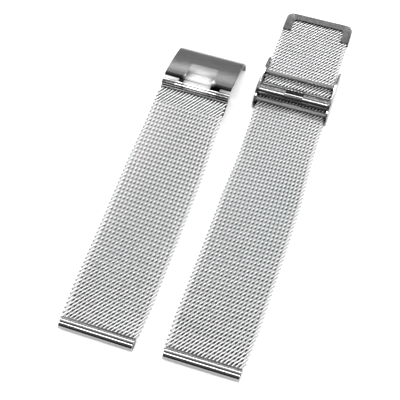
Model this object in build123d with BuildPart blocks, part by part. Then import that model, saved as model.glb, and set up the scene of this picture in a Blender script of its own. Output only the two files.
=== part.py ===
from build123d import *
import os
from math import asin, atan2, cos, degrees, hypot, radians, sin, tan

# A woven steel watch band with a hook-and-cover clasp: two loose straps, side by side on a table.
# X runs across the straps, Y along them from the lug bars to the clasp, and Z is up.
# The origin is on the table, under the middle of the whole set.

# Both straps
band_width = 19.8
mesh_thickness = 1.3
pressed_thickness = 1.0
strap_spacing = 27.2
short_setback = 0.4
flex_gap = 0.3
edge_radius = 0.12
edge_chamfer = 0.12
flex_segments = 3
strand_angle = 16.5

# Gaps of the net, each standing for a group of gaps in the weave
gap_columns = 8
gap_margin = 0.45
gap_row_pitch = 2.9
gap_width = 0.85
gap_length = 2.0
net_end_margin = 1.2

# Lug end: a tube for the spring bar, with two jaws that hold the pressed mesh
tube_radius = 1.5
bore_radius = 0.95
tube_setback = 0.1
jaw_wall = 0.3
jaw_reach = 0.3
grip_depth = 0.55
tube_end_chamfer = 0.15

# Short strap, measured along the strap from the near side of its lug tube. It lies turned a
# little on the table, clockwise from above, about a point of its middle line.
short_turn = 0.7
short_turn_place = 27.8
short_pressed_end = 9.05
short_mesh_end = 76.8
hinge_mesh_length = 4.7
hinge_axis_gap = 1.8
segment_tilts = (1.5, 4.5, 7.0)
hinge_end_tilt = 7.5

# Hinge of the clasp
knuckle_radius = 1.15
hinge_pin_radius = 0.6
running_clearance = 0.04
end_gap = 0.1
hinge_sheet = 0.4
hinge_plate_setback = 0.9
outer_knuckle_width = 3.6
hook_knuckle_width = 2.1

# Cover, measured from the hinge axis along and above its own middle line. Its sides stay high
# over the outer knuckles, and only its middle bends down to the middle knuckle.
cover_sheet = 0.6
cover_side_start = 1.0
cover_side_height = 2.1
cover_crest_reach = 8.6
cover_crest_height = 2.75
cover_bend_reach = 14.2
cover_bend_height = 2.5
cover_lip_reach = 18.4
cover_lip_depth = 1.85
cover_lip_bulge = 0.75
cover_lip_radius = 0.22

# Hook, measured the same way
hook_reach = 13.8
hook_sheet = 0.6
hook_tongue_width = 5.0
hook_neck_reach = 8.4
hook_neck_end = 9.6
hook_mouth = 2.4
hook_pin_lift = 0.2
claw_clearance = 0.1
claw_turn = 150

# Long strap, measured along the strap from the near side of its lug tube
long_pressed_end = 8.45
long_mesh_end = 119.0
straight_tail = 56.5

# Tail cap, a folded strip round the end of the weave
cap_wall = 0.25
cap_strip = 2.45
cap_leg = 7.2
cap_corner_radius = 2.1
cap_inner_radius = 1.0
cap_fold_radius = 0.45

# Slider frame, placed from the end of the weave and measured from its own near end
slider_from_tail = 37.25
slider_length = 18.5
slider_side_gap = 0.4
side_plate = 0.7
base_plate = 0.5
base_start = 1.6
base_length = 13.2
mesh_clearance = 0.1
foot_radius = 0.45
plate_edge_chamfer = 0.2
near_height = 1.2
far_height = 2.1
crest_place = 5.3
crest_height = 4.6
bridge_place = 12.05
bridge_strip = 1.1
bridge_sheet = 0.6
front_bar_place = 1.65
front_bar_strip = 1.5
front_bar_sheet = 0.5
bar_clearance = 0.15

# Locking lever on its pin
lever_pin_place = 4.85
lever_pin_radius = 0.7
cam_radius = 1.4
cam_offset = 0.1
cam_clearance = 0.1
lever_side_gap = 0.25
lever_sheet = 0.5
lever_reach = 3.1
lever_drop = 1.5
lever_bend_reach = 1.6
lever_bend_drop = 0.45
lever_window = 5.5
lever_window_reach = 2.75

# Sizes and places that follow from the ones above
tube_length = band_width - tube_setback
gap_column_pitch = (band_width - 2 * gap_margin) / gap_columns
cover_width = band_width
slider_width = band_width + 2 * (slider_side_gap + side_plate)
slider_start = long_mesh_end - slider_from_tail
long_tail_flex = long_mesh_end - straight_tail
short_hinge_flex = short_mesh_end - hinge_mesh_length
mesh_middle = base_plate + mesh_clearance + mesh_thickness / 2
jaw_end = 2 * tube_radius + jaw_reach
slot_floor = jaw_end - grip_depth

# The box round both straps is centred on the origin, with the turned strap's corners in it
turned_sideways = (short_turn_place - slot_floor) * sin(radians(short_turn))
turned_near = tube_length / 2 * sin(radians(short_turn))
short_x = (band_width / 2 + turned_sideways - slider_width / 2 - strap_spacing) / 2
long_x = short_x + strap_spacing
long_near = (short_setback + turned_near - long_mesh_end - cap_wall) / 2
short_near = long_near - short_setback
turn_axis = Axis((short_x, short_near + short_turn_place, 0), (0, 0, 1))


def side_plane(x, y, z, tilt=0):
    """A plane across X: its own x runs along the strap and its own y stands on the strap."""
    along = (0, cos(radians(tilt)), sin(radians(tilt)))
    return Plane(origin=(x, y, z), x_dir=along, z_dir=(1, 0, 0))


def face_plane(x, y, z, tilt=0):
    """A plane in the strap's own face: its own y runs along the strap."""
    upward = (0, -sin(radians(tilt)), cos(radians(tilt)))
    return Plane(origin=(x, y, z), x_dir=(1, 0, 0), z_dir=upward)


def make_lug_tube(x, near):
    """The tube and its jaws are one folded profile, as long as the gap between a watch's lugs."""
    with BuildPart() as lug_tube:
        with BuildSketch(side_plane(x - tube_length / 2, near, 0)):
            with Locations((tube_radius, tube_radius)):
                Circle(tube_radius)
            with Locations((tube_radius, mesh_middle)):
                Rectangle(
                    tube_radius + jaw_reach,
                    pressed_thickness + 2 * jaw_wall,
                    align=(Align.MIN, Align.CENTER),
                )
            with Locations((tube_radius, tube_radius)):
                Circle(bore_radius, mode=Mode.SUBTRACT)
            with Locations((jaw_end, mesh_middle)):
                Rectangle(
                    grip_depth,
                    pressed_thickness,
                    align=(Align.MAX, Align.CENTER),
                    mode=Mode.SUBTRACT,
                )
        extrude(amount=tube_length)
        rims = lug_tube.edges().filter_by(GeomType.CIRCLE)
        outer_rims = rims.filter_by(lambda rim: rim.radius > (tube_radius + bore_radius) / 2)
        chamfer(outer_rims, length=tube_end_chamfer)
    return lug_tube.part


def make_pressed_mesh(plane, start, end, round_start=False):
    """A stretch of weave that is pressed flat; the end at a flex line is rounded."""
    with BuildPart() as pressed:
        with BuildSketch(plane.offset(-pressed_thickness / 2)):
            with Locations((0, start)):
                Rectangle(band_width, end - start, align=(Align.CENTER, Align.MIN))
        extrude(amount=pressed_thickness)
        across = pressed.edges().filter_by(Axis.X).group_by(Axis.Y)
        fillet(across[0] if round_start else across[-1], radius=pressed_thickness * 0.45)
    return pressed.part


def net_gaps(length):
    """The gaps lean like the strands of the weave, and every second row is shifted half a gap."""
    lean = tan(radians(strand_angle)) * gap_length / 2
    corners = [
        (-gap_width / 2 - lean, -gap_length / 2),
        (gap_width / 2 - lean, -gap_length / 2),
        (gap_width / 2 + lean, gap_length / 2),
        (-gap_width / 2 + lean, gap_length / 2),
    ]
    rows = int((length - 2 * net_end_margin) / gap_row_pitch)
    first_row = (length - (rows - 1) * gap_row_pitch) / 2
    for row in range(rows):
        columns = gap_columns - row % 2
        with Locations((0, first_row + row * gap_row_pitch)):
            with GridLocations(gap_column_pitch, gap_row_pitch, columns, 1):
                Polygon(*corners, mode=Mode.SUBTRACT)


def make_mesh(plane, length):
    """A group of coil rows: one holed face, with rounded ends where it turns on its neighbours."""
    with BuildPart() as mesh:
        with BuildSketch(plane.offset(-mesh_thickness / 2)):
            with Locations((0, flex_gap / 2)):
                Rectangle(band_width, length - flex_gap, align=(Align.CENTER, Align.MIN))
            net_gaps(length)
        extrude(amount=mesh_thickness)
        across = mesh.edges().filter_by(Axis.X).filter_by(lambda edge: edge.length > band_width / 2)
        fillet(across, radius=mesh_thickness * 0.45)
    return mesh.part


def finish(part, name):
    part.label = name
    export_step(part, f"parts/{name}.step")


def finish_short(part, name):
    """Pieces of the short strap are modelled straight along Y, then turned on the table."""
    finish(part.rotate(turn_axis, -short_turn), name)


os.makedirs("parts", exist_ok=True)

# Lug ends of both straps, which a watch case holds
for name, x, near, pressed_end, finish_end in (
    ("short", short_x, short_near, short_pressed_end, finish_short),
    ("long", long_x, long_near, long_pressed_end, finish),
):
    finish_end(make_lug_tube(x, near), f"{name}_lug_tube")
    lug_face = face_plane(x, near, mesh_middle)
    finish_end(make_pressed_mesh(lug_face, slot_floor, pressed_end - flex_gap / 2), f"{name}_lug_mesh")

# Weave of the short strap, which rises towards the clasp that props it up
segment_length = (short_hinge_flex - short_pressed_end) / flex_segments
flex_y = short_near + short_pressed_end
flex_z = mesh_middle
for number in range(flex_segments):
    tilt = segment_tilts[number]
    segment_face = face_plane(short_x, flex_y, flex_z, tilt)
    finish_short(make_mesh(segment_face, segment_length), f"short_mesh_{number + 1}")
    flex_y += segment_length * cos(radians(tilt))
    flex_z += segment_length * sin(radians(tilt))

# Hinge end of the short strap; its lengths run from the last flex line
hinge_face = face_plane(short_x, flex_y, flex_z, hinge_end_tilt)
axis_reach = hinge_mesh_length + hinge_axis_gap
axis_lift = knuckle_radius - hinge_sheet - pressed_thickness / 2
hinge_y = flex_y + axis_reach * cos(radians(hinge_end_tilt)) - axis_lift * sin(radians(hinge_end_tilt))
hinge_z = flex_z + axis_reach * sin(radians(hinge_end_tilt)) + axis_lift * cos(radians(hinge_end_tilt))
hinge_mesh = make_pressed_mesh(hinge_face, flex_gap / 2, hinge_mesh_length, round_start=True)
finish_short(hinge_mesh, "short_hinge_mesh")

outer_knuckle_start = band_width / 2 - outer_knuckle_width
hook_knuckle_start = outer_knuckle_start - end_gap - hook_knuckle_width
cover_knuckle_width = 2 * (hook_knuckle_start - end_gap)
bore_in_hinge = hinge_pin_radius + running_clearance

# A backing plate under the pressed weave, an end wall, and the two outer knuckles
with BuildPart() as hinge_plate:
    with BuildSketch(side_plane(short_x - band_width / 2, flex_y, flex_z, hinge_end_tilt)):
        with Locations((hinge_plate_setback, -pressed_thickness / 2)):
            Rectangle(
                hinge_mesh_length - hinge_plate_setback + hinge_sheet,
                hinge_sheet,
                align=(Align.MIN, Align.MAX),
            )
        with Locations((hinge_mesh_length, -pressed_thickness / 2)):
            Rectangle(hinge_sheet, pressed_thickness, align=(Align.MIN, Align.MIN))
    extrude(amount=band_width)
    for side in (-band_width / 2, outer_knuckle_start):
        with BuildSketch(side_plane(short_x + side, flex_y, flex_z, hinge_end_tilt)):
            with Locations((axis_reach, axis_lift)):
                Circle(knuckle_radius)
            with Locations((hinge_mesh_length, -pressed_thickness / 2)):
                Rectangle(axis_reach - hinge_mesh_length, hinge_sheet, align=(Align.MIN, Align.MAX))
            with Locations((axis_reach, axis_lift)):
                Circle(bore_in_hinge, mode=Mode.SUBTRACT)
        extrude(amount=outer_knuckle_width)
finish_short(hinge_plate.part, "hinge_plate")

with BuildPart() as hinge_pin:
    with BuildSketch(side_plane(short_x - band_width / 2, hinge_y, hinge_z)):
        Circle(hinge_pin_radius)
    extrude(amount=band_width)
finish_short(hinge_pin.part, "hinge_pin")

# Cover: an arched plate with its far edge curved down, resting on that edge, and a tab in the
# middle that leaves the plate at its crest and bends down on to the middle knuckle
lip_point = (cover_lip_reach, -cover_lip_depth)
cover_tilt = -degrees(asin(hinge_z / hypot(*lip_point)) + atan2(*reversed(lip_point)))
lip_middle = (
    (cover_bend_reach + cover_lip_reach) / 2 + cover_lip_bulge,
    (cover_bend_height - cover_lip_depth) / 2 + cover_lip_bulge,
)
crest = (cover_crest_reach, cover_crest_height)
with BuildPart() as clasp_cover:
    with BuildSketch(side_plane(short_x - cover_width / 2, hinge_y, hinge_z, cover_tilt)):
        with BuildLine():
            TangentArc(crest, (cover_side_start, cover_side_height), tangent=(-1, 0))
            far_arch = TangentArc(crest, (cover_bend_reach, cover_bend_height), tangent=(1, 0))
            ThreePointArc(far_arch @ 1, lip_middle, lip_point)
            offset(amount=cover_sheet, side=Side.LEFT)
        make_face()
    extrude(amount=cover_width)
    ends = clasp_cover.faces().filter_by(Axis.X).sort_by(Axis.X)
    chamfer([ends[0].edges(), ends[-1].edges()], length=edge_chamfer)
    with BuildSketch(face_plane(short_x, hinge_y, hinge_z, cover_tilt)):
        Rectangle(cover_knuckle_width, cover_crest_reach - cover_sheet, align=(Align.CENTER, Align.MIN))
    extrude(amount=2 * cover_crest_height, both=True, mode=Mode.SUBTRACT)
    with BuildSketch(side_plane(short_x - cover_knuckle_width / 2, hinge_y, hinge_z, cover_tilt)):
        with BuildLine():
            TangentArc(crest, (0, knuckle_radius), tangent=(-1, 0))
            offset(amount=cover_sheet, side=Side.LEFT)
        make_face()
        Circle(knuckle_radius)
    extrude(amount=cover_knuckle_width)
    with BuildSketch(side_plane(short_x - cover_width / 2, hinge_y, hinge_z)):
        Circle(bore_in_hinge)
    extrude(amount=cover_width, mode=Mode.SUBTRACT)
    lip = clasp_cover.edges().filter_by(Axis.X).group_by(Axis.Y)[-1]
    fillet(lip, radius=cover_lip_radius)
finish_short(clasp_cover.part, "clasp_cover")

# Hook: two arms on the same pin join in a tongue, whose claw goes round the slider's pin
claw_radius = lever_pin_radius + claw_clearance + hook_sheet / 2
hook_half = hook_knuckle_start + hook_knuckle_width
claw_bottom = claw_radius + hook_sheet / 2
hook_tilt = -degrees(
    asin((hinge_z - claw_bottom) / hypot(hook_reach, hook_pin_lift)) + atan2(hook_pin_lift, hook_reach)
)
with BuildPart() as clasp_hook:
    with BuildSketch(side_plane(short_x - hook_half, hinge_y, hinge_z, hook_tilt)):
        with BuildLine():
            claw = CenterArc((hook_reach, hook_pin_lift), claw_radius, 90, -claw_turn)
            Line((0, hook_sheet / 2 - knuckle_radius), claw @ 0)
            offset(amount=hook_sheet / 2)
        make_face()
        Circle(knuckle_radius)
        Circle(bore_in_hinge, mode=Mode.SUBTRACT)
    extrude(amount=2 * hook_half)
    with BuildSketch(face_plane(short_x, hinge_y, hinge_z, hook_tilt)):
        with BuildLine():
            Polyline(
                (-hook_half, -2 * knuckle_radius),
                (hook_half, -2 * knuckle_radius),
                (hook_half, hook_neck_reach),
                (hook_tongue_width / 2, hook_neck_end),
                (hook_tongue_width / 2, hook_reach + 2 * claw_bottom),
                (-hook_tongue_width / 2, hook_reach + 2 * claw_bottom),
                (-hook_tongue_width / 2, hook_neck_end),
                (-hook_half, hook_neck_reach),
                close=True,
            )
        make_face()
        with Locations((0, hook_mouth)):
            Rectangle(
                2 * hook_knuckle_start,
                hook_mouth + 3 * knuckle_radius,
                align=(Align.CENTER, Align.MAX),
                mode=Mode.SUBTRACT,
            )
    extrude(amount=hook_reach, both=True, mode=Mode.INTERSECT)
finish_short(clasp_hook.part, "clasp_hook")

# Weave of the long strap: short groups, then the straight length that the slider travels on
segment_length = (long_tail_flex - long_pressed_end) / flex_segments
for number in range(flex_segments):
    start = long_near + long_pressed_end + number * segment_length
    finish(make_mesh(face_plane(long_x, start, mesh_middle), segment_length), f"long_mesh_{number + 1}")

tail_face = face_plane(long_x, long_near, mesh_middle)
with BuildPart() as long_tail_mesh:
    with BuildSketch(tail_face.offset(-mesh_thickness / 2)):
        with Locations((0, long_tail_flex + flex_gap / 2)):
            outline = Rectangle(band_width, straight_tail - flex_gap / 2, align=(Align.CENTER, Align.MIN))
        fillet(outline.vertices().group_by(Axis.Y)[-1], radius=cap_corner_radius - cap_wall)
        with Locations((0, long_tail_flex)):
            net_gaps(straight_tail - cap_strip)
    extrude(amount=mesh_thickness)
    across = long_tail_mesh.edges().filter_by(Axis.X).group_by(Axis.Y)[0]
    fillet(across, radius=mesh_thickness * 0.45)
finish(long_tail_mesh.part, "long_tail_mesh")

cap_width = band_width + 2 * cap_wall
cap_end = long_mesh_end + cap_wall
cap_height = mesh_thickness + 2 * cap_wall
with BuildPart() as tail_cap:
    with BuildSketch(tail_face.offset(-cap_height / 2)):
        with Locations((0, cap_end)):
            outer = Rectangle(cap_width, cap_leg, align=(Align.CENTER, Align.MAX))
        fillet(outer.vertices().group_by(Axis.Y)[-1], radius=cap_corner_radius)
    extrude(amount=cap_height)
    fillet(tail_cap.faces().filter_by(Axis.Z).edges(), radius=cap_fold_radius)
    with BuildSketch(tail_face.offset(-cap_height / 2)):
        with Locations((0, cap_end - cap_strip)):
            inner = Rectangle(cap_width - 2 * cap_strip, cap_leg, align=(Align.CENTER, Align.MAX))
        fillet(inner.vertices().group_by(Axis.Y)[-1], radius=cap_inner_radius)
    extrude(amount=cap_height, mode=Mode.SUBTRACT)
    with BuildSketch(tail_face.offset(-mesh_thickness / 2)):
        with Locations((0, long_mesh_end)):
            fold = Rectangle(band_width, 2 * cap_leg, align=(Align.CENTER, Align.MAX))
        fillet(fold.vertices().group_by(Axis.Y)[-1], radius=cap_corner_radius - cap_wall)
    extrude(amount=mesh_thickness, mode=Mode.SUBTRACT)
finish(tail_cap.part, "tail_cap")

# Slider: a folded frame round the long strap, with two bars over the weave and the lever's pin
slider_near = long_near + slider_start
pin_height = mesh_middle + mesh_thickness / 2 + cam_clearance + cam_radius + cam_offset
bar_height = mesh_middle + mesh_thickness / 2 + bar_clearance
slider_side = side_plane(long_x - slider_width / 2, slider_near, 0)
with BuildPart() as slider_frame:
    for side in (-slider_width / 2, slider_width / 2 - side_plate):
        with BuildSketch(side_plane(long_x + side, slider_near, 0)):
            with BuildLine():
                bottom = Line((foot_radius, 0), (slider_length - foot_radius, 0))
                far_foot = RadiusArc(bottom @ 1, (slider_length, foot_radius), -foot_radius)
                far_edge = Line(far_foot @ 1, (slider_length, far_height))
                crest = (crest_place, crest_height)
                TangentArc(crest, far_edge @ 1, tangent=(1, 0))
                near_slope = TangentArc(crest, (0, near_height), tangent=(-1, 0))
                near_edge = Line(near_slope @ 1, (0, foot_radius))
                RadiusArc(near_edge @ 1, bottom @ 0, -foot_radius)
            make_face()
        extrude(amount=side_plate)
    outer_faces = slider_frame.faces().filter_by(Axis.X).sort_by(Axis.X)
    chamfer([outer_faces[0].edges(), outer_faces[-1].edges()], length=plate_edge_chamfer)
    with BuildSketch(slider_side.offset(side_plate / 2)):
        with Locations((base_start, 0)):
            Rectangle(base_length, base_plate, align=(Align.MIN, Align.MIN))
    extrude(amount=slider_width - side_plate)
    with BuildSketch(slider_side):
        with Locations((lever_pin_place, pin_height)):
            Circle(lever_pin_radius + running_clearance)
        with Locations((bridge_place, bar_height)):
            Rectangle(bridge_strip, bridge_sheet, align=(Align.MIN, Align.MIN))
        with Locations((front_bar_place, bar_height)):
            Rectangle(front_bar_strip, front_bar_sheet, align=(Align.MIN, Align.MIN))
    extrude(amount=slider_width, mode=Mode.SUBTRACT)
finish(slider_frame.part, "slider_frame")

for name, place, strip, sheet in (
    ("slider_bridge", bridge_place, bridge_strip, bridge_sheet),
    ("slider_front_bar", front_bar_place, front_bar_strip, front_bar_sheet),
):
    with BuildPart() as bar:
        with BuildSketch(slider_side):
            with Locations((place, bar_height)):
                Rectangle(strip, sheet, align=(Align.MIN, Align.MIN))
        extrude(amount=slider_width)
        fillet(bar.edges().filter_by(Axis.X), radius=edge_radius)
    finish(bar.part, name)

with BuildPart() as lever_pin:
    with BuildSketch(slider_side):
        with Locations((lever_pin_place, pin_height)):
            Circle(lever_pin_radius)
    extrude(amount=slider_width)
finish(lever_pin.part, "lever_pin")

# Locking lever: a cam set low on the pin presses on the weave, and a curved tab lifts it
lever_width = slider_width - 2 * side_plate - 2 * lever_side_gap
cam_top = pin_height - cam_offset + cam_radius
tab_end = (lever_pin_place + lever_reach, cam_top - lever_drop)
tab_bend = (lever_pin_place + lever_bend_reach, cam_top - lever_bend_drop)
with BuildPart() as locking_lever:
    with BuildSketch(side_plane(long_x - lever_width / 2, slider_near, 0)):
        with BuildLine():
            ThreePointArc((lever_pin_place, cam_top), tab_bend, tab_end)
            offset(amount=lever_sheet, side=Side.RIGHT)
        make_face()
        with Locations((lever_pin_place, pin_height - cam_offset)):
            Circle(cam_radius)
        with Locations((lever_pin_place, pin_height)):
            Circle(lever_pin_radius + running_clearance, mode=Mode.SUBTRACT)
    extrude(amount=lever_width)
    with BuildSketch(face_plane(long_x, slider_near, pin_height)):
        with Locations((0, lever_pin_place + lever_window_reach)):
            Rectangle(
                lever_window,
                lever_window_reach + 2 * cam_radius,
                align=(Align.CENTER, Align.MAX),
            )
    extrude(amount=2 * cam_radius, both=True, mode=Mode.SUBTRACT)
    tab_edges = locking_lever.edges().filter_by(Axis.X).sort_by(Axis.Y)[-2:]
    fillet(tab_edges, radius=edge_radius)
finish(locking_lever.part, "locking_lever")
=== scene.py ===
from math import cos, pi, radians, sin

import bmesh
import bpy
import numpy as np
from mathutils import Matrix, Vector
from mathutils.geometry import tessellate_polygon


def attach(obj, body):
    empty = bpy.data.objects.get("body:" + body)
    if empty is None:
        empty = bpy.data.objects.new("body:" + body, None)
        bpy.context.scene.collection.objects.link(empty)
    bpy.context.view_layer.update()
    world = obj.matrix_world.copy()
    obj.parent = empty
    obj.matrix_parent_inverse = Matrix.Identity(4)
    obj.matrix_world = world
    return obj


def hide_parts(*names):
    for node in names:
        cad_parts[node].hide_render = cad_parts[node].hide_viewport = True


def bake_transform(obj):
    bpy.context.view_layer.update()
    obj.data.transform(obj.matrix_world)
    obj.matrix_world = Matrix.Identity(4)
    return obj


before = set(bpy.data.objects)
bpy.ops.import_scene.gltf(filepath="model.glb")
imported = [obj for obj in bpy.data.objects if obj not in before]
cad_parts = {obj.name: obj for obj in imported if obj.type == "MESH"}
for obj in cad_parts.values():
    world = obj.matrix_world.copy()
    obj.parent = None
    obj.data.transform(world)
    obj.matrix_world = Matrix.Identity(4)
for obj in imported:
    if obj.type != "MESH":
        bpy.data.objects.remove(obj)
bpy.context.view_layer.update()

# A woven steel watch band in two loose straps. Lengths are in millimetres until a mesh is made.
# X runs across the straps, Y along them from the lug tubes to the clasp, Z up from the table.
MM = 0.001

# Straps: where the middle line starts, the places where the weave flexes, and the tilt of each
# stretch after one. The tilt changes over a rounding either side of a flex line.
short_x, long_x = -13.997, 13.203
short_near, long_near = -59.765, -59.365
short_turn, turn_place = 0.7, 27.8
long_bow, bow_length = 0.75, 98.0
middle = 1.25
short_joints = (9.05, 30.067, 51.083, 72.1)
short_tilts = (1.5, 4.5, 7.0, 7.5)
long_joints = (8.45, 26.467, 44.483, 62.5)
long_tilts = (0, 0, 0, 0)
rounding = (4.5, 8.0, 8.0, 4.0)
blend_half = 4.0
line_length, line_step = 124.0, 0.05

# Weave: flat spiral coils whose axes run across the strap, each one screwed into the next
wire_radius = 0.25
turn_pitch = 1.0476
turns = 19.5
weave_shift = 0.1
front_share = 1.15
coil_half = 0.9
open_height, open_limit = 0.36, 0.65
round_along, round_through = 0.8, 0.5
leg_curve = 0.12
path_steps = 12
wire_sides = 6
scatter = 0.005
# Painted shade on the wire: a scale on the place round the coil, and where the fade from shaded to lit
# starts and how far it spans
turn_shade, shade_start, shade_span = 1.5, -0.05, 0.85

# Weave: its rows, and its width along a strap as a share of the full one
first_row, row_pitch = 3.9, 1.33
short_last_row, long_last_row = 75.7, 116.6
taper_places, taper_widths = (0, 13, 52, 66), (0.94, 1, 1, 0.94)

# Weave: the pressed zones at the ends, where the coils are flatter and their wire is too
press_share, press_fade = 0.35, 1.4
pressed_height, pressed_limit = 0.31, 0.5
pressed_longer, pressed_wider, pressed_thinner = 0.03, 0.3, 0.2
short_pressed = ((0, 9.0), (71.6, 80))
long_pressed = ((0, 8.4),)

# Weave: how far the rows lean along the strap for each millimetre across, at places along it
short_lean = ((0, 9, 30, 72), (0, -0.022, -0.022, 0))
long_lean = ((0, 9, 60, 90), (0, 0.05, 0.06, 0))

# Weave: the pieces it is cut into, each of which reaches over one flex line at most
short_cuts = (0, 19.56, 40.58, 61.59, 80)
long_cuts = (0, 17.46, 35.48, 53.5, 71.5, 120)

# Lug tubes
tube_radius = 1.5
bore_radius = 0.95
tube_length = 19.7
tube_rim = 0.1
tube_steps, bore_steps = 72, 60
jaw_end = 3.3
jaw_half = 0.8
slot_half = 0.5
slot_floor = 2.75

# Lever: the fold of its sheet under the pin, a dark sheet that paints the shade in the window of its top
fold_radius, fold_sheet = 1.36, 0.16
fold_reach, fold_drop, fold_half = 2.6, 0.7, 2.7
fold_rim = 0.02
fold_steps = 24

# Cover: a painted highlight on its tab, an ellipse of light tone, and places along Y where the painted
# shading of the plate and the tone of the highlight change
highlight_x, highlight_y = -13.2, 19.4
highlight_half_width, highlight_half_length = 4.6, 5.6
highlight_edge, highlight_core = 1.3, 0.1
plate_shading_places, plate_shading_tones = (22, 34), (0.025, 0.24)
highlight_places, highlight_tones = (21, 23.2), (0.8, 0.15)

# Creases: an edge is sharp where its faces meet at more than this angle, in degrees
crease, finished_crease, no_crease = 30, 32, 180
rim_steps = 4
least_cosine = 0.5
same_place = 1e-7

# Studio: cards are placed in millimetres, lamps in metres
card_distance = 600
card_half_length = 500
card_steps = 8
side_card_place, side_card_low = 550, 20
lamp_length, lamp_breadth, lamp_distance = 0.9, 0.1, 0.55
front_angle, back_angle = 21, -58
front_power, back_power = 3.0, 3.5
fill_level = 0.9
floor_half, floor_drop = 900, 0.02
floor_tone = 0.9

# Camera: the place it looks at, its direction and distance, and its lens as focal length in
# picture widths
view_target = (-2.247, -11.94, 0)
view_azimuth, view_elevation, view_distance = 18.0, 58.24, 267.6
sensor_width, focal_share = 36, 982.2 / 400
near_clip = 0.005


def new_piece(name, points, faces, sharp=crease):
    """A mesh from points in millimetres, smooth where its faces meet at less than the sharp angle."""
    mesh = bpy.data.meshes.new(name)
    points = np.asarray(points, float).reshape(-1, 3) * MM
    mesh.from_pydata(points.tolist(), [], faces if isinstance(faces, list) else faces.tolist())
    mesh.validate()
    mesh.shade_smooth()
    if sharp < no_crease:
        mesh.set_sharp_from_angle(angle=radians(sharp))
    return linked(name, mesh)


def linked(name, data):
    """An object for a mesh, light or camera, in the scene."""
    made = bpy.data.objects.new(name, data)
    bpy.context.scene.collection.objects.link(made)
    return made


def solid(node):
    """The CAD solid of a node."""
    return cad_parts[node]


def dress(piece, material, body=None):
    """Gives a piece its material, its material slot and, unless it bends, the body that it rides."""
    piece.data.materials.append(material)
    if body:
        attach(piece, body)


class Strap:
    """A strap's middle line, and the places of points on it."""

    def __init__(self, x, near, joints, tilts, turn=0.0, bow=0.0):
        """The middle line as columns of length, y, z and tilt.

        The tilt grows evenly over a rounding either side of each flex line, and y and z are
        the running sums of its cosine and sine. The whole strap is turned clockwise on the table
        about a point of this line. Its weave may bow sideways as half a wave of a sine."""
        self.x, self.joints, self.turn, self.bow = x, joints, radians(turn), bow
        self.pivot = near + turn_place
        length = np.arange(0.0, line_length, line_step)
        tilt = np.zeros_like(length)
        before = 0.0
        for joint, after, half in zip(joints, tilts, rounding):
            tilt += radians(after - before) * np.clip((length - joint + half) / (2 * half), 0, 1)
            before = after
        steps = np.diff(length)
        turning = tilt[:-1] + np.diff(tilt) / 2
        y = near + np.concatenate([[0], np.cumsum(np.cos(turning) * steps)])
        z = middle + np.concatenate([[0], np.cumsum(np.sin(turning) * steps)])
        self.line = length, y, z, tilt

    def turned(self, points):
        """Points turned with the strap: x and y go round its turning point."""
        x, y = points[..., 0] - self.x, points[..., 1] - self.pivot
        turned_x = self.x + x * cos(self.turn) + y * sin(self.turn)
        turned_y = self.pivot + y * cos(self.turn) - x * sin(self.turn)
        return np.stack([turned_x, turned_y, points[..., 2]], axis=-1)

    def lay(self, across, along, height):
        """Points on the strap: along its middle line, and off it by height, square to the line."""
        length, line_y, line_z, line_tilt = self.line
        y, z, tilt = (np.interp(along, length, values) for values in (line_y, line_z, line_tilt))
        across = across + self.bow * np.sin(pi * np.clip(along / bow_length, 0, 1))
        points = [self.x + across, y - height * np.sin(tilt), z + height * np.cos(tilt)]
        return self.turned(np.stack(points, axis=-1))


def coil_path(steps, count):
    """One flat coil as u along the strap (-1 to 1), v through it (-1 to 1) and x across it.

    u and v go round a rounded rectangle: the cosine of the angle to one power and its sine to
    another. On the front leg x goes forward by the front share of the pitch, and on the back
    leg by the rest, a little faster in the middle of a leg than at its ends."""
    turn, step = np.divmod(np.arange(round(count * steps) + 1), steps)
    front = step <= steps / 2
    cosine, sine = np.cos(2 * pi * step / steps), np.sin(2 * pi * step / steps)
    u = -np.sign(cosine) * np.abs(cosine) ** round_along
    v = np.where(step % (steps / 2) == 0, 0.0, np.sign(sine) * np.abs(sine) ** round_through)
    lean = u * (1 + leg_curve - leg_curve * u ** 2)
    back_leg = front_share / 2 + (1 - front_share) * (1 - lean) / 2
    x = turn_pitch * (turn + np.where(front, front_share * lean / 2, back_leg))
    return u, v, x - turn_pitch * count / 2 + weave_shift


def painted_light(ring, v):
    """How lit each point of the wire is painted, from 0 (painted shade) to 1 (lit), as a smooth step.

    It follows how far the wire's surface there faces up, on the front legs of the coils, and
    down on the back legs. At the turns it falls to nothing."""
    side = np.clip(turn_shade * v, -1, 1)[None, :, None]
    facing = ring[..., 2] / np.linalg.norm(ring, axis=-1) * side
    share = np.clip((facing - shade_start) / shade_span, 0, 1)
    return share * share * (3 - 2 * share)


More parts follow.
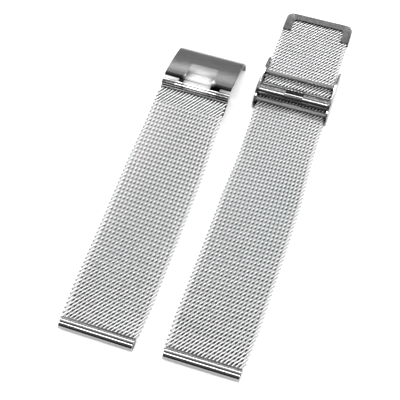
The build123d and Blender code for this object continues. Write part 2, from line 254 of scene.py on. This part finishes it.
def weave(name, strap, centres, press, skew, seed):
    """Coil rows as tubes: at each point of a coil's path stands a ring of wire_sides points.

    centres, press and skew have a value for each row: its place along the strap, how flat it
    is pressed, and how far it leans along the strap for each millimetre across it."""
    u, v, x = coil_path(path_steps, turns)
    random = np.random.default_rng(seed)
    shift = random.normal(0, scatter, (len(centres), 2))
    press = press[:, None]
    along = u * coil_half * (1 + pressed_longer * press)
    height = open_height + (pressed_height - open_height) * press
    width = np.interp(centres, taper_places, taper_widths)[:, None]
    path = np.stack([width * x + shift[:, :1] + 0 * along, along, v * height], axis=-1)

    tangent = np.gradient(path, axis=1)
    tangent /= np.linalg.norm(tangent, axis=-1, keepdims=True)
    across = np.array([1.0, 0, 0]) - tangent * tangent[..., :1]
    across /= np.linalg.norm(across, axis=-1, keepdims=True)
    outward = np.cross(tangent, across)
    angle = (np.arange(wire_sides) * (2 * pi / wire_sides))[None, None, :, None]
    wide = wire_radius * (1 + pressed_wider * press)[..., None, None]
    thick = wire_radius * (1 - pressed_thinner * press)[..., None, None]
    ring = across[:, :, None] * (wide * np.cos(angle)) + outward[:, :, None] * (thick * np.sin(angle))
    points = path[:, :, None] + ring

    place = centres[:, None, None] + shift[:, 1:, None] + points[..., 1]
    place = place + skew[:, None, None] * points[..., 0]
    limit = open_limit + (pressed_limit - open_limit) * press[..., None]
    level = np.clip(points[..., 2], -limit, limit)
    laid = strap.lay(points[..., 0], place, level)

    rows, steps = len(centres), len(u)
    index = np.arange(rows * steps * wire_sides).reshape(rows, steps, wire_sides)
    turned = np.roll(index, -1, axis=2)
    quads = np.stack([index[:, :-1], turned[:, :-1], turned[:, 1:], index[:, 1:]], axis=-1)
    faces = quads.reshape(-1, 4).tolist()
    faces += index[:, 0, ::-1].tolist() + index[:, -1].tolist()
    piece = new_piece(name, laid, faces, no_crease)
    # Painted shade: how lit each point of the wire is painted, read as its tone by its material
    attribute = piece.data.attributes.new("painted_light", "FLOAT", "POINT")
    attribute.data.foreach_set("value", painted_light(ring, v).astype(np.float32).ravel())
    dress(piece, woven_wire)
    return piece


def weave_strap(prefix, strap, bodies, nodes, last_row, pressed, lean, cuts, seed):
    """All the rows of a strap, cut into pieces that each reach over one flex line at most. A piece that
    reaches over one stays where it is laid, and any piece past the last one rides its body.
    """
    centres = np.linspace(first_row, last_row, round((last_row - first_row) / row_pitch) + 1)
    press = np.zeros_like(centres)
    for low, high in pressed:
        inside = np.minimum(centres - low, high - centres) / press_fade + 0.5
        press = np.maximum(press, press_share * np.clip(inside, 0, 1))
    skew = np.interp(centres, *lean)
    for number, (low, high) in enumerate(zip(cuts[:-1], cuts[1:])):
        here = (centres >= low) & (centres < high)
        name = f"{prefix}_weave_{number}"
        piece = weave(name, strap, centres[here], press[here], skew[here], seed + number)
        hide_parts(*nodes[number])
        if number < len(strap.joints):
            blend = strap.joints[number] + np.array([-blend_half, blend_half])
            ends = strap.lay(np.zeros(2), blend, np.zeros(2))
            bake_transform(piece)
        else:
            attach(piece, bodies[number])


def arc_points(centre, radius, start, end, count):
    """Points of an arc from one angle to another, in degrees, counterclockwise when end is larger."""
    angle = np.radians(np.linspace(start, end, count))
    return np.stack([centre[0] + radius * np.cos(angle), centre[1] + radius * np.sin(angle)], axis=-1)


def outline_normals(outline):
    """Outward normals of a counterclockwise outline: the mean direction of its two edges, turned right.

    A normal is drawn out at a corner, so that both edges move by the same length: by one over
    the cosine of half the corner's turn, and by no more than one over least_cosine."""
    edge = np.roll(outline, -1, axis=0) - outline
    edge /= np.linalg.norm(edge, axis=1, keepdims=True)
    mean = edge + np.roll(edge, 1, axis=0)
    mean /= np.linalg.norm(mean, axis=1, keepdims=True)
    stretch = 1 / np.maximum(least_cosine, np.sum(mean * edge, axis=1, keepdims=True))
    return np.stack([mean[:, 1], -mean[:, 0]], axis=-1) * stretch


def carry_across(name, outline, strap, half, rim, holes=()):
    """An outline in the Y-Z plane carried along X, with rounded rims and open through holes.

    A rim is a quarter circle: the outline moves in by rim times one minus the sine of the
    angle, while X moves on by rim times one minus its cosine."""
    angle = np.linspace(0, pi / 2, rim_steps)
    inward = rim * (1 - np.sin(angle))
    onward = rim * (1 - np.cos(angle))
    places = strap.x + np.concatenate([onward - half, half - onward[::-1]])
    insets = np.concatenate([inward, inward[::-1]])
    loops = [np.asarray(outline, float)] + [np.asarray(hole, float)[::-1] for hole in holes]
    points, faces, caps, first = [], [], [], 0
    for loop in loops:
        rings = loop[None] - insets[:, None, None] * outline_normals(loop)[None]
        xs = np.broadcast_to(places[:, None, None], rings.shape[:2] + (1,))
        points.append(np.concatenate([xs, rings], axis=-1).reshape(-1, 3))
        index = first + np.arange(len(places) * len(loop)).reshape(len(places), len(loop))
        turned = np.roll(index, -1, axis=1)
        quads = np.stack([index[:-1], turned[:-1], turned[1:], index[1:]], axis=-1)
        faces += quads.reshape(-1, 4)[:, ::-1].tolist()
        caps.append((rings, index))
        first += index.size
    for end_ring in (0, -1):
        flat = [[Vector((*point, 0)) for point in rings[end_ring]] for rings, _ in caps]
        order = np.concatenate([index[end_ring] for _, index in caps])
        faces += [[int(order[i]) for i in corner] for corner in tessellate_polygon(flat)]
    piece = new_piece(name, strap.turned(np.concatenate(points)), faces)
    mesh = bmesh.new()
    mesh.from_mesh(piece.data)
    bmesh.ops.recalc_face_normals(mesh, faces=mesh.faces)
    mesh.to_mesh(piece.data)
    mesh.free()
    piece.data.set_sharp_from_angle(angle=radians(crease))
    return piece


def lug_tube(name, strap, near):
    """The folded profile of a lug end: a round tube that runs into two jaws on the weave."""
    centre = (tube_radius, tube_radius)
    over, under = (
        np.degrees(np.arcsin((middle + side * jaw_half - tube_radius) / tube_radius)) for side in (1, -1))
    circle = arc_points(centre, tube_radius, over, 360 + under, tube_steps)
    jaws = [
        (jaw_end, middle - jaw_half), (jaw_end, middle - slot_half), (slot_floor, middle - slot_half),
        (slot_floor, middle + slot_half), (jaw_end, middle + slot_half), (jaw_end, middle + jaw_half),
    ]
    outline = np.concatenate([circle, jaws]) + (near, 0)
    bore = arc_points(centre, bore_radius, 0, 360 - 360 / bore_steps, bore_steps) + (near, 0)
    return carry_across(name, outline, strap, tube_length / 2, tube_rim, [bore])


def lever_shade_fold():
    """The lever's sheet where it wraps under its pin, in darker steel: a dark sheet that paints the shade
    seen through the window in its top.

    Its outline is half a ring round the pin, which runs on under the tab."""
    corners = solid("lever_pin").bound_box
    pin = Vector(corners[0]) / 2 + Vector(corners[6]) / 2
    centre = np.array([pin.y, pin.z]) / MM
    under = arc_points(centre, fold_radius, 180, 360, fold_steps)
    inner = arc_points(centre, fold_radius - fold_sheet, 360, 180, fold_steps)
    tab = centre + np.array([(fold_reach, -fold_drop), (fold_reach, fold_sheet - fold_drop)])
    outline = np.concatenate([under, tab, inner])
    return carry_across("lever_shade_fold", outline, long_strap, fold_half, fold_rim)


def finer_copy(node, name):
    """A copy of a CAD solid with its doubled points merged, shaded smooth across its rounded edges."""
    copy = linked(name, solid(node).data.copy())
    mesh = bmesh.new()
    mesh.from_mesh(copy.data)
    bmesh.ops.remove_doubles(mesh, verts=mesh.verts, dist=same_place)
    mesh.to_mesh(copy.data)
    mesh.free()
    copy.data.materials.clear()
    copy.data.shade_smooth()
    copy.data.set_sharp_from_angle(angle=radians(finished_crease))
    weighted = copy.modifiers.new("flat faces stay flat", "WEIGHTED_NORMAL")
    weighted.keep_sharp = True
    return copy


class Socket:
    """A number from a shader node. Python's operators on it add Math nodes."""

    def __init__(self, finish, link):
        self.finish, self.link = finish, link

    def math(self, operation, *values):
        return self.finish.node("ShaderNodeMath", {"operation": operation}, dict(enumerate(values)))

    def __add__(self, other): return self.math("ADD", self, other)
    def __radd__(self, other): return self.math("ADD", other, self)
    def __sub__(self, other): return self.math("SUBTRACT", self, other)
    def __rsub__(self, other): return self.math("SUBTRACT", other, self)
    def __mul__(self, other): return self.math("MULTIPLY", self, other)
    def __rmul__(self, other): return self.math("MULTIPLY", other, self)
    def __truediv__(self, other): return self.math("DIVIDE", self, other)
    def __rtruediv__(self, other): return self.math("DIVIDE", other, self)
    def __pow__(self, other): return self.math("POWER", self, other)
    def __rpow__(self, other): return self.math("POWER", other, self)


class Finish:
    """A node material, or the world, whose nodes are added one by one."""

    def __init__(self, owner):
        owner.use_nodes = True
        self.tree = owner.node_tree
        self.tree.nodes.clear()

    def node(self, kind, settings, sockets, output=0):
        """Adds a node: its settings come first, then the values or links of its sockets."""
        made = self.tree.nodes.new(kind)
        for key, value in settings.items():
            setattr(made, key, value)
        for key, value in sockets.items():
            if isinstance(value, Socket):
                self.tree.links.new(value.link, made.inputs[key])
            else:
                made.inputs[key].default_value = value
        return Socket(self, made.outputs[output]) if made.outputs else made

    def place(self, scale):
        """Object coordinates, scaled by axis."""
        where = self.node("ShaderNodeTexCoord", {}, {}, "Object")
        return self.node("ShaderNodeVectorMath", {"operation": "MULTIPLY"}, {0: where, 1: scale})

    def noise(self, scale, low, high, stretch=(1.0, 1.0, 1.0)):
        """Noise spread over low to high. A stretch below 1 draws it out along that axis."""
        value = self.node("ShaderNodeTexNoise", {}, {
            "Vector": self.place(stretch), "Scale": scale, "Detail": 3.0, "Roughness": 0.5})
        return value * (high - low) + low

    def spread(self, value, places, results, kind="LINEAR"):
        """A value that goes from one result to another between two places, and stays there."""
        return self.node("ShaderNodeMapRange", {"interpolation_type": kind}, {
            "Value": value, "From Min": places[0], "From Max": places[1],
            "To Min": results[0], "To Max": results[1]})


def steel(name, tone, roughness, bump, bump_distance):
    """A steel: its tone, roughness and bump height are functions of the Finish."""
    material = bpy.data.materials.new(name)
    finish = Finish(material)
    normal = finish.node("ShaderNodeBump", {}, {
        "Height": bump(finish), "Strength": 1.0, "Distance": bump_distance})
    grey = tone(finish)
    shader = finish.node("ShaderNodeBsdfPrincipled", {}, {
        "Base Color": finish.node("ShaderNodeCombineColor", {}, {0: grey, 1: grey, 2: grey}),
        "Metallic": 1.0, "Roughness": roughness(finish), "Normal": normal})
    finish.node("ShaderNodeOutputMaterial", {}, {"Surface": shader})
    return material


def woven_tone(finish):
    """Painted shade: bright where the wire faces out of the weave, dark where it faces into the gaps, with a
    little random tone.
    """
    painted_light_there = finish.node("ShaderNodeAttribute", {"attribute_name": "painted_light"}, {}, "Fac")
    return finish.spread(painted_light_there, (0, 1), (0.02, 0.72)) * finish.noise(900.0, 0.95, 1.05)


def cover_tone(finish):
    """Painted shading, darker on the plate's near part, and a painted highlight on the tab: an ellipse of
    light tone that fades smoothly. A little random tone lies over both.
    """
    where = finish.node("ShaderNodeTexCoord", {}, {}, "Object")
    x, y = (finish.node("ShaderNodeSeparateXYZ", {}, {"Vector": where}, axis) for axis in "XY")
    reach_x = (x - highlight_x * MM) / (highlight_half_width * MM)
    reach_y = (y - highlight_y * MM) / (highlight_half_length * MM)
    # The painted highlight on the tab, then the painted shading along the plate
    highlight_mask = finish.spread(reach_x ** 2 + reach_y ** 2, (highlight_edge, highlight_core), (0.0, 1.0), "SMOOTHSTEP")
    plate = finish.spread(y, [place * MM for place in plate_shading_places], plate_shading_tones)
    tab = finish.spread(y, [place * MM for place in highlight_places], highlight_tones)
    return (plate + (tab - plate) * highlight_mask) * finish.noise(1200.0, 0.88, 1.12, (0.1, 1.0, 1.0))


woven_wire = steel(
    "woven_wire",
    woven_tone,
    lambda finish: finish.noise(1500.0, 0.34, 0.44),
    lambda finish: finish.noise(9000.0, 0.0, 1.0, (1.0, 0.2, 1.0)),
    bump_distance=0.00001)
polished_steel = steel(
    "polished_steel",
    lambda finish: finish.noise(300.0, 0.26, 0.32),
    lambda finish: finish.noise(2500.0, 0.07, 0.16, (0.2, 1.0, 1.0)),
    lambda finish: finish.noise(5000.0, 0.0, 1.0, (0.15, 1.0, 1.0)),
    bump_distance=0.000003)
# The cover's steel, whose tone carries the painted highlight and painted shading
cover_steel = steel(
    "cover_steel",
    cover_tone,
    lambda finish: finish.noise(3000.0, 0.2, 0.3, (0.08, 1.0, 1.0)),
    lambda finish: finish.noise(6000.0, 0.0, 1.0, (0.05, 1.0, 1.0)),
    bump_distance=0.000008)
# Painted shade: a darker copy of the steel, for the tail cap and for the lever's fold
shaded_steel = steel(
    "shaded_steel",
    lambda finish: finish.noise(700.0, 0.05, 0.12),
    lambda finish: finish.noise(1500.0, 0.2, 0.3, (0.3, 1.0, 1.0)),
    lambda finish: finish.noise(4000.0, 0.0, 1.0, (0.3, 1.0, 1.0)),
    bump_distance=0.000006)

# The two straps' weave
short_strap = Strap(short_x, short_near, short_joints, short_tilts, short_turn)
long_strap = Strap(long_x, long_near, long_joints, long_tilts, bow=long_bow)
weave_strap(
    "short", short_strap,
    ["lug_ends", "short_band_1", "short_band_2", "short_band_3", "hinge_end"],
    [["short_lug_mesh", "short_mesh_1"], ["short_mesh_1", "short_mesh_2"],
     ["short_mesh_2", "short_mesh_3"], ["short_mesh_3", "short_hinge_mesh"]],
    short_last_row, short_pressed, short_lean, short_cuts, seed=11)
weave_strap(
    "long", long_strap,
    ["lug_ends", "long_band_1", "long_band_2", "long_band_3", "tail_end"],
    [["long_lug_mesh", "long_mesh_1"], ["long_mesh_1", "long_mesh_2"],
     ["long_mesh_2", "long_mesh_3"], ["long_mesh_3", "long_tail_mesh"], ["long_tail_mesh"]],
    long_last_row, long_pressed, long_lean, long_cuts, seed=31)

# Lug tubes, drawn anew so that they are round
for name, strap, near in (
    ("short_lug_tube", short_strap, short_near),
    ("long_lug_tube", long_strap, long_near),
):
    tube = lug_tube(f"{name}_round", strap, near)
    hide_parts(name)
    dress(tube, polished_steel, "lug_ends")

# The clasp's sheet parts and pins, as finer copies of the solids
for node, body, material, slot in (
    ("hinge_plate", "hinge_end", polished_steel, "polished_steel"),
    ("hinge_pin", "hinge_end", polished_steel, "polished_steel"),
    ("clasp_cover", "cover", cover_steel, "brushed_steel"),
    ("clasp_hook", "hook", polished_steel, "polished_steel"),
    # The tail cap wears the darker copy of the steel, as painted shade
    ("tail_cap", "tail_end", shaded_steel, "brushed_steel"),
    ("slider_frame", "slider", polished_steel, "polished_steel"),
    ("slider_bridge", "slider", polished_steel, "polished_steel"),
    ("slider_front_bar", "slider", polished_steel, "polished_steel"),
    ("lever_pin", "slider", polished_steel, "polished_steel"),
    ("locking_lever", "lever", polished_steel, "polished_steel"),
):
    piece = finer_copy(node, f"{node}_finished")
    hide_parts(node)
    dress(piece, material, body)

# The lever's fold, a dark sheet that paints the shade in the window of its top
dress(lever_shade_fold(), shaded_steel, "lever")


# Studio: a white room, grey and dark cards that only reflections show, and two long lamps
def card(name, corners, faces, tone):
    """A sheet of one tone, which only reflections show."""
    sheet = new_piece(name, corners, faces, no_crease)
    material = bpy.data.materials.new(name)
    finish = Finish(material)
    finish.node("ShaderNodeOutputMaterial", {}, {
        "Surface": finish.node("ShaderNodeEmission", {}, {"Color": (tone, tone, tone, 1), "Strength": 1.0})})
    sheet.data.materials.append(material)
    sheet.visible_camera = False
    sheet.visible_diffuse = False
    sheet.visible_shadow = False


def curved_card(name, start, end, tone):
    """A strip of a cylinder round the X axis, between two angles off the upright, towards -Y.

    Its points are (x, -radius sin angle, radius cos angle)."""
    count = card_steps + 1
    angle = np.radians(np.linspace(start, end, count))
    ends = np.array([-card_half_length, card_half_length])
    x, angle = np.meshgrid(ends, angle, indexing="ij")
    points = np.stack([x, -card_distance * np.sin(angle), card_distance * np.cos(angle)], axis=-1)
    index = np.arange(2 * count).reshape(2, count)
    faces = np.stack([index[0, :-1], index[1, :-1], index[1, 1:], index[0, 1:]], axis=-1)
    card(name, points, faces, tone)


def side_card(name, x, tone):
    """An upright sheet beside the straps."""
    low, high = side_card_low, card_half_length
    ends = ((-card_distance, low), (card_distance, low), (card_distance, high), (-card_distance, high))
    card(name, [(x, *end) for end in ends], [[0, 1, 2, 3]], tone)


def strip_lamp(name, angle, power):
    """A long lamp across the straps, at an angle off the upright towards -Y, that faces them."""
    lamp = linked(name, bpy.data.lights.new(name, "AREA"))
    lamp.data.shape = "RECTANGLE"
    lamp.data.size, lamp.data.size_y = lamp_length, lamp_breadth
    lamp.data.energy = power
    lamp.location = (0, -lamp_distance * sin(radians(angle)), lamp_distance * cos(radians(angle)))
    lamp.rotation_euler = (radians(angle), 0, 0)
    lamp.visible_camera = False


for name, start, end, tone in (
    ("back_card", -100, -56, 0.22),
    ("overhead_card", -17, 13, 0.12),
    ("camera_card", 28, 62, 0.25),
    ("front_card", 62, 92, 0.03),
):
    curved_card(name, start, end, tone)
side_card("right_card", side_card_place, 0.1)
side_card("left_card", -side_card_place, 0.5)
strip_lamp("front_lamp", front_angle, front_power)
strip_lamp("back_lamp", back_angle, back_power)

# White to the camera and in reflections, a little dimmer as the light of the room
world = bpy.data.worlds.new("studio")
bpy.context.scene.world = world
room = Finish(world)
seen = sum(room.node("ShaderNodeLightPath", {}, {}, ray)
           for ray in ("Is Camera Ray", "Is Glossy Ray", "Is Transmission Ray"))
fill, white = (room.node("ShaderNodeBackground", {}, {"Color": (1, 1, 1, 1), "Strength": strength})
               for strength in (fill_level, 1.0))
room.node("ShaderNodeOutputWorld", {}, {
    "Surface": room.node("ShaderNodeMixShader", {}, {0: seen, 1: fill, 2: white})})

floor_corners = [(x * floor_half, y * floor_half, -floor_drop)
                 for x, y in ((-1, -1), (1, -1), (1, 1), (-1, 1))]
floor = new_piece("floor", floor_corners, [[0, 1, 2, 3]])
table_top = bpy.data.materials.new("white_table")
top = Finish(table_top)
paper = top.node("ShaderNodeBsdfDiffuse", {}, {"Color": (floor_tone, floor_tone, floor_tone, 1)})
top.node("ShaderNodeOutputMaterial", {}, {"Surface": paper})
floor.data.materials.append(table_top)

camera = linked("camera", bpy.data.cameras.new("camera"))
bpy.context.scene.camera = camera
camera.data.sensor_width = sensor_width
camera.data.lens = sensor_width * focal_share
camera.data.clip_start = near_clip
azimuth, elevation = radians(view_azimuth), radians(view_elevation)
back = Vector((sin(azimuth) * cos(elevation), -cos(azimuth) * cos(elevation), sin(elevation)))
camera.location = (Vector(view_target) + back * view_distance) * MM
camera.rotation_mode = "QUATERNION"
camera.rotation_quaternion = back.to_track_quat("Z", "Y")

bpy.context.scene.view_settings.view_transform = "Standard"
